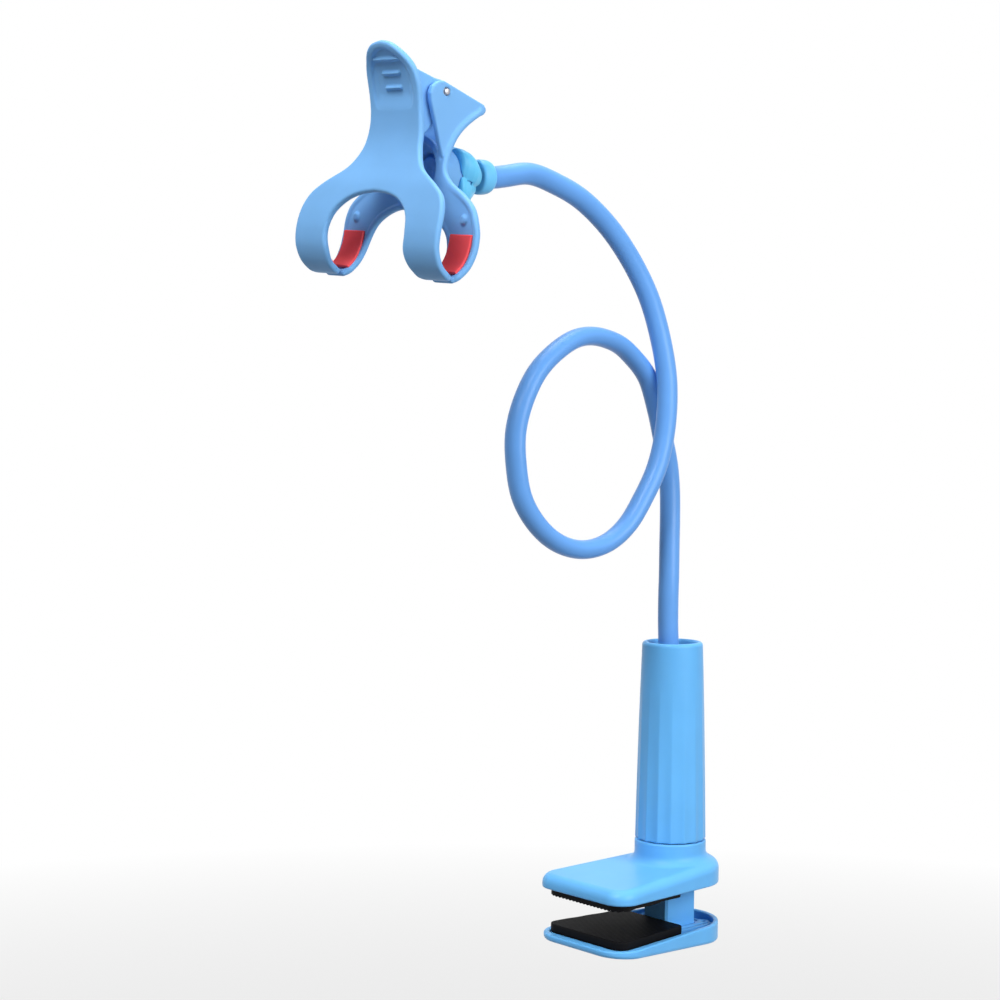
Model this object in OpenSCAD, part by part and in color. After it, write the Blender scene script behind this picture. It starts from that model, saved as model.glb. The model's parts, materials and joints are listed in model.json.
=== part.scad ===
// Phone holder: a screw-jaw table clamp, a looped gooseneck and a sprung phone clip on a ball joint.
// Millimetres, +Z up. The origin is the centre of the lower pad's gripping face; the jaw mouth faces -X.

/* [Clamp] */
// Distance from the origin to the axis of the post
post_x = 35; // [34:0.5:38]
// Gap between the two pads
jaw_gap = 13.8; // [8:0.2:20]
// Distance from the post's axis to the tips of the jaws
jaw_reach = 64.5; // [62:0.5:66]
// Half of the width of the jaws at their tips
jaw_half_w = 29.8; // [29:0.2:32]
// Radius of the jaws round the post
jaw_rear_r = 24; // [23:0.2:25]
// Height of the lower jaw at its rear
lower_jaw_h = 10.6; // [10:0.1:13]
// Thickness of the lower pad
lower_pad_t = 4.3; // [3.4:0.1:4.6]
// Thickness of the upper pad
upper_pad_t = 4.4; // [4:0.1:5]
// Wall of the jaws
jaw_wall = 2.4; // [2:0.1:3]

/* [Post and grip] */
// Width of the post along the jaws
post_w = 20.5; // [19:0.5:21]
// Depth of the post across the jaws
post_d = 16; // [15:0.5:16.5]
// Pitch of the thread on the post's corners
pitch = 6; // [5:0.5:7]
// Length of the turning grip
grip_len = 97; // [92:1:102]
// Radius of the grip at its bottom
grip_r = 17.3; // [17.1:0.1:18]
// Radius of the grip at its top
grip_top_r = 14.9; // [14.8:0.1:16]
// Depth of the grip's flutes at the bottom
flute_depth = 0.6; // [0.3:0.1:0.9]

/* [Gooseneck] */
// Outer diameter of the gooseneck
hose_d = 10; // [9:0.2:10.4]
// Diameter of the wire core
core_d = 5.6; // [4.6:0.2:6]
// How far the crossing strands stand apart, each from the middle plane
strand_y = 6; // [5.8:0.1:8]

/* [Ball joint] */
// Diameter of the ball
ball_d = 14; // [13:0.2:14.4]
// Radius of the lobed lock nut
nut_r = 14; // [13.6:0.1:15.4]
// Radius of the end ferrule
ferrule_r = 7.8; // [7.6:0.1:8.4]
// Upward lean of the ball stud
stud_tilt = 4; // [2:0.5:5]

/* [Phone clip] */
// Height of the ball's centre above the lower pad
clip_z = 350; // [345:1:355]
// Roll of the clip about the ball joint's axis
clip_roll = 5; // [0:1:8]
// Thickness of the clip arms
arm_t = 3; // [2.6:0.1:3.2]
// Half of the clip's width over the fingers
finger_w = 50; // [48:0.5:54]
// Diameter of the hinge pin
pin_d = 3.5; // [3:0.1:4]
// Thickness of the red pads
grip_pad_t = 1.2; // [1:0.1:2.2]
// Wire diameter of the torsion spring
wire_d = 1.2; // [1:0.1:1.4]

/* [Hidden] */

blue = [0.42, 0.68, 0.93];
neck_blue = [0.40, 0.62, 0.90];
nut_blue = [0.40, 0.75, 0.96];
black = [0.10, 0.10, 0.11];
red = [0.86, 0.25, 0.30];
steel = [0.75, 0.76, 0.78];
$fn = 64;
eps = 0.01;

// Jaw heights
lower_tip_x = post_x - jaw_reach;
upper_tip_x = lower_tip_x + 1;
rear_x = post_x + jaw_rear_r;
rim_tip_z = -4;
rim_rear_z = -2.2;
floor_tip_z = -7.2;
floor_rear_z = rim_rear_z - lower_jaw_h;
pad_tip_x = lower_tip_x + 5.5;
pad_rear_x = post_x - 11.6;
up = jaw_gap;
deck_z = up + upper_pad_t;
jz = jaw_gap - 1.4;
skirt_z = jz + 5.2;
top_tip_z = jz + 11.9;
top_rear_z = jz + 16.4;
collar_r = 17.5;
collar_z = jz + 25.1;
lip_r = 14.9;

// Post, thread and grip
thread_r = norm([post_w, post_d]) / 2 - 0.1;
root_r = thread_r - 1.6;
thread_z0 = 24;
thread_z1 = 98;
post_z0 = -8.95;
post_top = 100;
grip_z = collar_z + 0.4;
grip_top = grip_z + grip_len;
bore_r = thread_r + 0.3;
nut_seat_r = grip_r - 2;
nut_h = 14;

// Ball joint, in the stud's own frame with +X along the stud
clip_x = -102;
ball_r = ball_d / 2;
ball_dx = -4;
cup_r = ball_r + 0.05;
shell_r = ball_r + 1.2;
house_r = shell_r + 0.06;
neck_r = 3.2;
stub_r = house_r + 2;
nut_end = 8.75;
ferrule_s0 = 11.2;
ferrule_s1 = 24;
neck_s = 16;
cap_x = -16.4;

// Hinge of the clip
pin_x = -25.7;
pin_z = 34.1;
cheek_out = 17.5;
cheek_in = 14;

function lerp(a, b, t) = a + (b - a) * t;
function arc(c, r, a0, a1, n) = [for (i = [0:n]) let (a = lerp(a0, a1, i / n)) c + r * [cos(a), sin(a)]];
function steps(p, q, n) = [for (i = [1:n]) lerp(p, q, i / (n + 1))];
function circle_pts(r, n) = [for (i = [0:n - 1]) r * [cos(360 * i / n), sin(360 * i / n)]];

// Smooth curve through hand-set points
function cubic(a, b, c, d, t) = 0.5 * (2 * b + (c - a) * t + (2 * a - 5 * b + 4 * c - d) * t * t
    + (3 * b - a - 3 * c + d) * t * t * t);
function curve(p, n) = [for (i = [0:len(p) - 2]) for (k = [0:n - 1])
    cubic(p[max(i - 1, 0)], p[i], p[i + 1], p[min(i + 2, len(p) - 1)], k / n), p[len(p) - 1]];

// Band of even thickness beside a curve, from offset a to offset b on its left
function side_dir(p, i) = let (t = p[min(i + 1, len(p) - 1)] - p[max(i - 1, 0)]) [-t.y, t.x] / norm(t);
function band(p, a, b) = concat([for (i = [0:len(p) - 1]) p[i] + a * side_dir(p, i)],
    [for (i = [len(p) - 1:-1:0]) p[i] + b * side_dir(p, i)]);
function mirrored(p) = concat(p, [for (i = [len(p) - 1:-1:0]) if (p[i].x > 0.01) [-p[i].x, p[i].y]]);

// Surface through rings of equal count, closed at both ends or round on itself
function ring_faces(m, n) = [for (j = [0:m - 2]) for (i = [0:n - 1]) let (k = (i + 1) % n)
    each [[j * n + i, (j + 1) * n + i, j * n + k], [j * n + k, (j + 1) * n + i, (j + 1) * n + k]]];
module rings(r) {
    m = len(r);
    n = len(r[0]);
    polyhedron([for (a = r) each a],
        concat(ring_faces(m, n), [[for (i = [0:n - 1]) i]], [[for (i = [n - 1:-1:0]) (m - 1) * n + i]]));
}

// Plan of a jaw: tip edge, rounded corners, straight sides and a round rear
function jaw_plan(tip, hw, cr, rr) = let (
    c = [tip + cr, hw - cr], d = [post_x, 0] - c, a = atan2(d.y, d.x) + acos((cr - rr) / norm(d)),
    e = c + cr * [cos(a), sin(a)], f = [post_x, 0] + rr * [cos(a), sin(a)])
    concat(arc(c, cr, 180, a, 6), steps(e, f, 5), arc([post_x, 0], rr, a, -a, 22),
        steps([f.x, -f.y], [e.x, -e.y], 5), arc([c.x, -c.y], cr, -a, -180, 6));
module profile_y(p, w) rotate([90, 0, 0]) translate([0, 0, -w]) linear_extrude(2 * w) polygon(p);
module profile_x(p, l) rotate([90, 0, 90]) linear_extrude(l) polygon(p);
module along_x(p) translate([-90, 0, 0]) profile_x(p, 180);
module bar_x(r, x0, x1) translate([x0, 0, 0]) rotate([0, 90, 0]) cylinder(r = r, h = x1 - x0);
module bar_y(r, y0, y1) translate([0, y1, 0]) rotate([90, 0, 0]) cylinder(r = r, h = y1 - y0);
module at_post(z = 0) translate([post_x, 0, z]) children();

// Ribs crossing the open inside of a jaw
module ribs(x0, x1, z0, z1) {
    for (y = [-20.5, -13.5, 13.5, 20.5]) translate([x0, y - 0.8, z0]) cube([x1 - x0, 1.6, z1 - z0]);
    for (x = [-15, -2, 11]) translate([x - 0.8, -40, z0]) cube([1.6, 80, z1 - z0]);
    for (y = [-5, 5]) translate([x0, y - 0.8, z0]) cube([22.2 - x0, 1.6, z1 - z0]);
}

// Lower jaw: open tray with a socket for the post and sloping rim and floor
function lower_side(x) = lerp(floor_tip_z, floor_rear_z, (x - lower_tip_x) / (rear_x - lower_tip_x));
module lower_bounds(d) profile_y([[lower_tip_x - 5, rim_tip_z], [rear_x + 5, rim_rear_z],
    [rear_x + 5, floor_rear_z + d], [lower_tip_x - 5, floor_tip_z + d]], 60);
module lower_jaw() color(blue) difference() {
    union() {
        difference() {
            intersection() {
                translate([0, 0, -20]) linear_extrude(30)
                    polygon(jaw_plan(lower_tip_x, jaw_half_w, 14, jaw_rear_r));
                lower_bounds(0);
            }
            intersection() {
                translate([0, 0, -19]) linear_extrude(30) polygon(jaw_plan(pad_tip_x - 0.6,
                    jaw_half_w - jaw_wall - 1.2, 6.2, jaw_rear_r - jaw_wall));
                profile_y([[lower_tip_x - 5, 5], [rear_x + 5, 5], [rear_x + 5, floor_rear_z + 2.3],
                    [lower_tip_x - 5, floor_tip_z + 2]], 60);
            }
        }
        intersection() {
            linear_extrude(60, center = true)
                polygon(jaw_plan(lower_tip_x + 1.2, jaw_half_w - 1.2, 12.8, jaw_rear_r - 1.2));
            profile_y([[lower_tip_x, -lower_pad_t - 0.05], [pad_rear_x + 0.6, -lower_pad_t - 0.05],
                [pad_rear_x + 0.6, -4.6], [rear_x, -4.6], [rear_x, floor_rear_z + 1],
                [lower_tip_x, floor_tip_z + 1]], 60);
            union() {
                ribs(lower_tip_x, rear_x, -15, 0);
                at_post(-15) linear_extrude(15) square([post_w + 5, post_d + 5], center = true);
                translate([post_x + 15.5, -8.5, -15]) cylinder(r = 3.2, h = 15);
                translate([post_x + 15.5, 8.5, -15]) cylinder(r = 3.2, h = 15);
                translate([post_x + 14.7, -30, -15]) cube([1.6, 60, 15]);
            }
        }
    }
    at_post(post_z0 - 0.05) linear_extrude(20) square([post_w + 0.1, post_d + 0.1], center = true);
    for (y = [-8.5, 8.5]) translate([post_x + 15.5, y, -9]) cylinder(r = 1.5, h = 10);
    for (x = [-5, 5]) at_post() translate([x, 0, 0]) {
        translate([0, 0, -20]) cylinder(r = 1.7, h = 15);
        translate([0, 0, -20]) cylinder(r = 3.2, h = 20 - 10.6);
    }
}
module lower_pad() color(black) intersection() {
    translate([0, 0, -10]) linear_extrude(20) polygon(jaw_plan_short(pad_tip_x, pad_rear_x, 25.8, 21.3, 6));
    along_x(pad_section(-lower_pad_t, 0, 1, 1.7));
}

// Plan of a pad: four rounded corners, narrower at the rear
function jaw_plan_short(x0, x1, w0, w1, r) = concat(
    arc([x0 + r, w0 - r], r, 180, 95, 6), arc([x1 - 3, w1 - 3], 3, 95, 0, 5),
    arc([x1 - 3, 3 - w1], 3, 0, -95, 5), arc([x0 + r, r - w0], r, -95, -180, 6));
// Ribbed cross-section of a pad: flat back at b, rib crests at c
function pad_section(b, c, s, p) = let (n = 2 * round(26 / p), d = (c > b ? -0.5 : 0.5) * s) concat(
    [[-30, b], [30, b]],
    [for (i = [n:-1:-n]) each [[(i + 0.5) * p / 2, c + (i % 2 == 0 ? 0 : d)],
        [(i - 0.5) * p / 2 + 0.12, c + (i % 2 == 0 ? 0 : d)]]]);

module post_screw(x) color(steel) at_post() translate([x, 0, 0]) difference() {
    union() {
        translate([0, 0, -12]) cylinder(r = 3, h = 1.3);
        translate([0, 0, -10.8]) cylinder(r = 1.5, h = 14);
    }
    translate([0, 0, -12.1]) cylinder(r = 1.3, h = 0.9, $fn = 6);
}
module post_screw_front() post_screw(-5);
module post_screw_rear() post_screw(5);

// Post: flat-sided bar with a screw thread cut in its corners, bored for the gooseneck at the top
function teeth(n) = [for (i = [0:n - 1]) let (z = thread_z0 + pitch * i)
    each [[root_r, z], [root_r, z + 0.25 * pitch], [thread_r, z + 0.45 * pitch],
        [thread_r, z + 0.8 * pitch]]];
module post_bar(z0, z1, w, d) at_post(z0) linear_extrude(z1 - z0)
    polygon([[-w / 2 + 1, -d / 2], [-4, -d / 2], [-4, -d / 2 + 0.4], [w / 2 - 0.6, -d / 2 + 0.4],
        [w / 2, -d / 2 + 1], [w / 2, d / 2 - 1], [w / 2 - 1, d / 2], [4, d / 2], [4, d / 2 - 0.4],
        [-w / 2 + 0.6, d / 2 - 0.4], [-w / 2, d / 2 - 1], [-w / 2, -d / 2 + 1]]);
module post() color(blue) difference() {
    intersection() {
        post_bar(post_z0, post_top, post_w, post_d);
        at_post() rotate_extrude() polygon(concat([[0, -20], [20, -20], [20, thread_z0]],
            teeth(floor((thread_z1 - thread_z0) / pitch)), [[root_r, thread_z1], [0, 110]]));
    }
    at_post(71) cylinder(r = 6.5, h = 50);
    at_post(50) cylinder(r = 4, h = 30);
    for (x = [-5, 5]) at_post(-12) translate([x, 0, 0]) cylinder(r = 1.45 + 0.1, h = 16);
    at_post(86) bar_y(1.6, -12, 0);
}
module grub_screw() color(steel) at_post(86) bar_y(1.5, -post_d / 2 + 0.7, -5.3);
module neck_plug() color(steel) difference() {
    at_post() rotate_extrude() polygon([[0, 71.1], [6.4, 71.1], [6.4, 99.2], [0, 99.2]]);
    at_post(73) cylinder(r = hose_d / 2 + 0.1, h = 40);
    at_post(60) cylinder(r = 3.3, h = 40);
    at_post(86) bar_y(1.6, -12, 0);
}

// Gooseneck: route of the centreline, the last number says how far the section is squashed by the bend
sy = strand_y;
tip_dir = [cos(stud_tilt), 0, sin(stud_tilt)];
ball_at = [clip_x + ball_dx, 0, clip_z];
function on_stud(s) = ball_at + s * tip_dir;
function flat(p, o) = [p.x, p.y, p.z, o];
lx = post_x;
route = [[lx, 0, 73.5, 0], [lx, 0, 86, 0], [lx, 0, 100, 0], [lx - 1.6, 0, 120, 0], [lx - 3.2, 0, 140, 0],
    [lx - 3.4, 0, 156, 0], [lx - 2.6, 0.5, 168, 0], [lx - 0.8, 2.2, 182, 0], [lx + 1.4, 4.2, 196, 0],
    [lx + 2.4, sy - 0.5, 209, 0], [lx + 1.4, sy, 221, 0.1], [lx - 2.2, sy, 234, 0.3],
    [lx - 7.4, sy - 0.5, 249, 0.6], [lx - 15, sy - 1.4, 264, 0.9], [lx - 27, 4, 274.5, 1],
    [lx - 39, 3, 280.4, 1], [lx - 55.5, 2, 282.8, 1], [lx - 71, 1, 279.3, 1], [lx - 88, 0.5, 268, 1],
    [lx - 98.5, 0, 254, 1], [lx - 104, 0, 238, 1], [lx - 104, -0.5, 222, 1], [lx - 100.5, -1, 207, 1],
    [lx - 91.5, -1.8, 194.5, 1], [lx - 79, -2.4, 186, 1], [lx - 64, -3, 182.6, 1], [lx - 49, -3.6, 185.3, 1],
    [lx - 36.5, -4.4, 193.6, 1], [lx - 27, 0.6 - sy, 206.3, 0.8], [lx - 19, -sy, 220, 0.6],
    [lx - 14, -sy, 235, 0.4], [lx - 12, -sy, 252, 0.2], [lx - 12.2, 1 - sy, 268, 0.1],
    [lx - 15.6, -3, 287, 0], [lx - 22, -1.6, 304, 0], [lx - 33, -0.4, 320.5, 0], [lx - 47, 0, 334.5, 0],
    [lx - 64, 0, 345.6, 0], [lx - 81, 0, 351.8, 0], [lx - 97, 0, 355, 0], flat(on_stud(29) + [0, 0, 0.6], 0),
    flat(on_stud(23), 0), flat(on_stud(neck_s + 0.2), 0)];
path = [for (i = [0:len(route) - 2]) for (k = [0:1])
    cubic(route[max(i - 1, 0)], route[i], route[i + 1], route[min(i + 2, len(route) - 1)], k / 2),
    route[len(route) - 1]];
function xyz(p) = [p.x, p.y, p.z];
function unit(v) = v / norm(v);
function tube_ring(i, r, n, q) = let (
    t = i == 0 ? [0, 0, 1] : i == len(path) - 1 ? -tip_dir
        : unit(xyz(path[i + 1]) - xyz(path[i - 1])),
    b = unit([0, 1, 0] - t.y * t), m = cross(b, t), o = q * path[i][3])
    [for (k = [0:n - 1]) let (a = 360 * (k + 0.5) / n)
        xyz(path[i]) + r * ((1 - 0.11 * o) * cos(a) * m + (1 + 0.07 * o) * sin(a) * b)];
module neck_sheath() color(neck_blue) {
    m = len(path);
    n = 16;
    k = 10;
    w = hose_d / 2;
    c = core_d / 2 + 0.3;
    in0 = m * n;
    polyhedron(
        concat([for (i = [0:m - 1]) each tube_ring(i, w, n, 1)],
            [for (i = [0:m - 1]) each tube_ring(i, c, k, 0)]),
        concat(ring_faces(m, n), [for (f = ring_faces(m, k)) [in0 + f[2], in0 + f[1], in0 + f[0]]],
            cap_faces(0, in0, n, k, false), cap_faces((m - 1) * n, in0 + (m - 1) * k, n, k, true)));
}
// Flat end between an outer ring of n points and an inner ring of k points
function cap_faces(a, b, n, k, flip) = [for (f = concat(
    [for (i = [0:n - 1]) [a + i, a + (i + 1) % n, b + floor((i + 1) * k / n) % k]],
    [for (j = [0:k - 1]) let (i = ceil((j + 1) * n / k) - 1) [b + j, a + i % n, b + (j + 1) % k]]))
    flip ? [f[2], f[1], f[0]] : f];
module neck_core() color(steel) rings([for (i = [0:len(path) - 1]) tube_ring(i, core_d / 2, 8, 0)]);

// End ferrule and ball stud
module at_ball() translate(ball_at) children();
module at_stud() at_ball() rotate([0, 90 - stud_tilt, 0]) children();
module end_ferrule() color(nut_blue) at_stud() difference() {
    rotate_extrude() polygon([[0, ferrule_s0], [5.6, ferrule_s0], [7, ferrule_s0 + 0.7],
        [ferrule_r - 0.2, ferrule_s0 + 2], [ferrule_r, ferrule_s0 + 3.5], [ferrule_r, ferrule_s1 - 4],
        [ferrule_r - 0.5, ferrule_s1 - 2], [ferrule_r - 1.6, ferrule_s1 - 0.3], [6, ferrule_s1],
        [0, ferrule_s1]]);
    translate([0, 0, neck_s]) cylinder(r = hose_d / 2 + 0.1, h = 20);
    translate([0, 0, 5]) cylinder(r = 2.6, h = 20);
}
module ball_stud() color(steel) at_stud() union() {
    sphere(r = ball_r);
    cylinder(r = neck_r, h = ferrule_s0 - 0.1);
    cylinder(r = 2.5, h = neck_s);
}

// Upper jaw: cushion-shaped cover rising to a round collar, hollow underneath
function top_at(x) = lerp(top_tip_z, top_rear_z, (x - upper_tip_x) / (rear_x - upper_tip_x));
function turned(p) = [for (i = [len(p) - 1:-1:0]) p[i]];
function skirt_at(x) = lerp(skirt_z, skirt_z - 1.1, (x - upper_tip_x) / 87);
function cover_ring(i, d) = [for (p = turned(jaw_plan(upper_tip_x + i, jaw_half_w - i,
    max(10 - i, 1.5), jaw_rear_r - i))) [p.x, p.y, d < 0 ? top_at(p.x) + d : skirt_at(p.x) + d]];
function round_ring(r, z) = [for (p = turned(jaw_plan(upper_tip_x, jaw_half_w, 10, jaw_rear_r)))
    let (a = atan2(p.y, p.x - post_x)) [post_x + r * cos(a), r * sin(a), z]];
module upper_jaw() color(blue) difference() {
    rings([cover_ring(1, 0), cover_ring(0, 1), cover_ring(0.2, -4.5), cover_ring(0.8, -2.4),
        cover_ring(2, -0.9), cover_ring(3.6, -0.2), cover_ring(5, -0.01), round_ring(18.1, jz + 17.8),
        round_ring(17.6, jz + 19.6), round_ring(collar_r, jz + 22), round_ring(collar_r, collar_z - 0.8),
        round_ring(collar_r - 0.7, collar_z)]);
    translate([0, 0, up - 5]) linear_extrude(deck_z - up + 5)
        polygon(jaw_plan(upper_tip_x + 3.4, jaw_half_w - 3.4, 7, jaw_rear_r - 3));
    difference() {
        intersection() {
            translate([0, 0, up - 4]) linear_extrude(40)
                polygon(jaw_plan(upper_tip_x + 4, jaw_half_w - 4, 6.4, jaw_rear_r - 3.6));
            profile_y([[upper_tip_x - 5, up - 3], [rear_x + 5, up - 3], [rear_x + 5, top_rear_z - 3.2],
                [upper_tip_x - 5, top_tip_z - 3.4]], 60);
        }
        ribs(upper_tip_x, rear_x, up - 6, up + 30);
        at_post(up - 6) linear_extrude(40) square([post_w + 6, post_d + 6], center = true);
        at_post(jz + 11.5) cylinder(r = collar_r + 1, h = 20);
    }
    at_post(up - 7) linear_extrude(50) square([post_w + 0.6, post_d + 0.6], center = true);
    at_post(jz + 14) cylinder(r = 16.1, h = 6.6);
    at_post(jz + 15) cylinder(r = lip_r, h = 20);
}
module upper_pad() color(black) intersection() {
    translate([0, 0, up - 5]) linear_extrude(20)
        polygon(jaw_plan_short(upper_tip_x + 3.6, pad_rear_x - 0.4, 25.4, 20.8, 7));
    along_x(pad_section(deck_z, up, 1, 2.4));
}

// Turning grip, fluted toward the bottom, and the nut pressed into it
function flute(z) = flute_depth * pow(min(1, max(0, 1 - (z - grip_z) / (0.8 * grip_len))), 0.8);
function grip_ring(z, r) = [for (i = [0:63]) let (a = 360 * i / 64, q = r - flute(z) * abs(sin(8 * a)))
    [q * cos(a), q * sin(a), z]];
module grip_sleeve() color(blue) at_post() difference() {
    rings([grip_ring(grip_z, grip_r - 0.4), grip_ring(grip_z + 0.6, grip_r),
        grip_ring(grip_z + 0.25 * grip_len, lerp(grip_r, grip_top_r, 0.25) + 0.15),
        grip_ring(grip_z + 0.55 * grip_len, lerp(grip_r, grip_top_r, 0.55) + 0.2),
        grip_ring(grip_z + 0.8 * grip_len, lerp(grip_r, grip_top_r, 0.8) + 0.1),
        grip_ring(grip_top - 1.8, grip_top_r), grip_ring(grip_top - 0.6, grip_top_r - 0.6),
        grip_ring(grip_top, grip_top_r - 1.7)]);
    translate([0, 0, grip_z - 5]) cylinder(r = nut_seat_r, h = 5 + nut_h);
    translate([0, 0, grip_z - 5]) cylinder(r = bore_r, h = grip_len - 11);
    translate([0, 0, grip_top - 17]) cylinder(r1 = bore_r, r2 = 11.9, h = 3);
    translate([0, 0, grip_top - 15]) cylinder(r = 11.9, h = 14);
    translate([0, 0, grip_top - 1.2]) cylinder(r1 = 11.9, r2 = 12.7, h = 1.3);
}
module grip_nut() color(black) at_post() difference() {
    rotate_extrude() polygon([[bore_r - 1, jz + 18], [15.7, jz + 18], [15.7, jz + 20.2], [14.5, jz + 20.6],
        [14.5, grip_z + 0.1], [nut_seat_r - 0.05, grip_z + 0.1], [nut_seat_r - 0.05, grip_z + nut_h - 0.1],
        [bore_r - 1, grip_z + nut_h - 0.1]]);
    translate([0, 0, jz]) cylinder(r = bore_r, h = 60);
}

// Frame of the phone clip: its origin is on the ball joint's axis, rolled about it
module in_clip() translate([clip_x, 0, clip_z]) rotate([clip_roll, 0, 0]) children();
module ball_axis() translate([ball_dx, 0, 0]) children();

// Ball seat and friction ring: parts of a thin shell round the ball
module shell(a0, a1) rotate([0, 90, 0]) rotate_extrude() polygon(concat(
    [for (i = [0:8]) let (a = lerp(a0, a1, i / 8)) cup_r * [sin(a), cos(a)]],
    [for (i = [8:-1:0]) let (a = lerp(a0, a1, i / 8)) shell_r * [sin(a), cos(a)]]));
module ball_seat() color(black) in_clip() ball_axis() shell(128, 180);
module friction_ring() color(black) in_clip() ball_axis() shell(46, 74);

// Side curves of the clip's arms, seen along the hinge: outer faces from tab to finger tip
front_path = [[-51.8, 55], [-50.9, 53], [-48.9, 48.8], [-45, 43], [-42.2, 36], [-40.6, 29], [-39.8, 22],
    [-39.9, 15], [-41.4, 8], [-44.1, 1], [-47.3, -6], [-49.6, -13], [-51.7, -20], [-53.1, -27],
    [-53, -34], [-50.2, -40.6], [-45.4, -44.9], [-41.2, -46.2]];
rear_path = [[-2.6, 28.2], [-5.6, 26.2], [-10.4, 23.1], [-15.1, 19.1], [-18.4, 15.1], [-20.6, 11], [-22.6, 6],
    [-24.2, 0.5], [-25.3, -6], [-26, -14], [-26.3, -21], [-26.3, -27], [-27.5, -34], [-30.5, -40.4],
    [-34.8, -44.9], [-38.3, -47.3]];
front_curve = curve(front_path, 3);
rear_curve = curve(rear_path, 3);
// Half outline of the thumb recess on the front tab
thumb_outline = curve([[0, 50.8], [4.5, 50], [8.4, 47.4], [11.4, 43.6], [13.2, 38], [13.4, 30], [11.8, 26],
    [7, 24.8], [0, 24.6]], 2);
// Half outlines of the arms, seen along the ball joint's axis: round the outside, then up the arch
fw = finger_w;
front_outline = concat(curve([[0, 53.4], [6, 52.4], [10.5, 49.8], [14, 46.2], [16.4, 42], [17.3, 36],
    [17.2, 28], [17.3, 22], [18.3, 15], [20.2, 8], [26, 0.5], [fw - 12, -6], [fw - 4.5, -11],
    [fw - 0.8, -17.5], [fw, -26], [fw - 0.6, -38], [fw - 3, -48]], 3), [[30, -50]],
    curve([[28, -46], [27.5, -36], [28, -27], [25.6, -19.5], [19, -14], [10, -11], [0, -10]], 3));
rear_outline = concat([[0, 34], [17.4, 34], [18.5, 31]], curve([[18.5, 22], [18.5, 14], [18.7, 7],
    [20.4, 0.5], [26.5, -4.6], [fw - 15, -9], [fw - 7.6, -14.6], [fw - 4, -22], [fw - 3, -31],
    [fw - 3.6, -40], [fw - 6, -49]], 3), [[31, -51]],
    curve([[29.5, -47], [29.3, -38], [28, -31], [24.6, -25], [17.7, -20], [9, -16.8], [0, -16]], 3));
module arm(c, a, b, outline) intersection() {
    profile_y(band(c, a, b), 60);
    translate([-90, 0, 0]) profile_x(mirrored(outline), 90);
}
module both_cheeks(w0, w1, p) for (s = [-1, 1]) translate([0, s * (w0 + w1) / 2, 0])
    profile_y(p, (w1 - w0) / 2);

module front_arm() color(blue) in_clip() difference() {
    union() {
        difference() {
            arm(front_curve, 0, arm_t, front_outline);
            intersection() {
                profile_y(band(front_curve, -3, 0.8), 20);
                along_x(mirrored(thumb_outline));
            }
        }
        for (r = [[45.6, 10.6], [39.8, 6], [33.8, 5.3]]) intersection() {
            profile_y(band(front_curve, 0.1, 1.5), r[1]);
            translate([-90, -20, r[0]]) cube([90, 40, 1.5]);
        }
        both_cheeks(cheek_in - 3, cheek_in, [[-43.4, 43.4], [-30, 39.6], [-24, 38.8], [-21.4, 36.6],
            [-20.6, 33], [-22.5, 29.6], [-29.5, 20.2], [-34.1, 15], [-39.4, 10], [-38.5, 15], [-38.3, 22],
            [-39.2, 29], [-40.8, 36]]);
    }
    translate([pin_x, 0, pin_z]) bar_y(pin_d / 2 + 0.25, -30, 30);
}
module rear_arm() color(blue) in_clip() difference() {
    union() {
        arm(rear_curve, -arm_t, 0, rear_outline);
        both_cheeks(cheek_in + 0.5, cheek_out, [[-4.2, 30.7], [-27.6, 38.6], [-30.6, 38], [-33.4, 35.8],
            [-34.4, 32.6], [-33.8, 29.1], [-30.3, 19.7], [-25.9, 6.4], [-23.4, 8.6], [-21.2, 13.2],
            [-17.6, 18], [-13, 22.2], [-8.4, 25.6], [-4.4, 28.4]]);
        bar_x(11, -26, ball_dx - 6.2);
        bar_x(stub_r, -26, ball_dx + 1.2);
        translate([-25.6, 0, 0]) rotate([0, 90, 0]) cylinder(r1 = 16.6, r2 = 11, h = 8);
    }
    translate([pin_x, 0, pin_z]) bar_y(pin_d / 2 + 0.02, -30, 30);
    ball_axis() sphere(r = house_r);
    ball_axis() bar_x(house_r + 0.12, 0, 3);
    bar_x(9, -40, cap_x);
    bar_x(3.4, -40, -8);
    translate([-28.8, 0, 0]) rotate([0, 90, 0]) cylinder(r1 = 15.6, r2 = 9.6, h = 9);
}
module socket_cap() color(blue) in_clip() difference() {
    union() {
        bar_x(7.2, cap_x - 2.6, cap_x - 0.05);
        bar_x(3.3, cap_x - 1, ball_dx - house_r - 0.1);
    }
    translate([cap_x - 6.2, 0, 0]) sphere(r = 4.6);
}

// Lock nut: round-cornered lobes on a cone, screwed over the socket's stub
function lobes(r, d) = [for (i = [0:79]) let (a = 4.5 * i, q = r - d * pow(abs(sin(2.5 * (a - 75))), 1.6))
    q * [cos(a), sin(a)]];
module lock_nut() color(nut_blue) in_clip() difference() {
    intersection() {
        translate([ball_dx - 5.9, 0, 0]) profile_x(lobes(nut_r, 2.8), nut_end + 5.9);
        ball_axis() rotate([0, 90, 0]) rotate_extrude() polygon([[0, -5.9], [nut_r - 1.2, -5.9],
            [nut_r, -4.6], [nut_r, -1.6], [nut_r - 2.2, 3], [9.6, nut_end - 1.4], [8.5, nut_end],
            [0, nut_end]]);
    }
    ball_axis() bar_x(stub_r + 0.3, -10, 1.5);
    ball_axis() sphere(r = house_r);
    ball_axis() translate([4.6, 0, 0]) rotate([0, 90, 0]) cylinder(r1 = 6, r2 = 7, h = 4.5);
}

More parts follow.
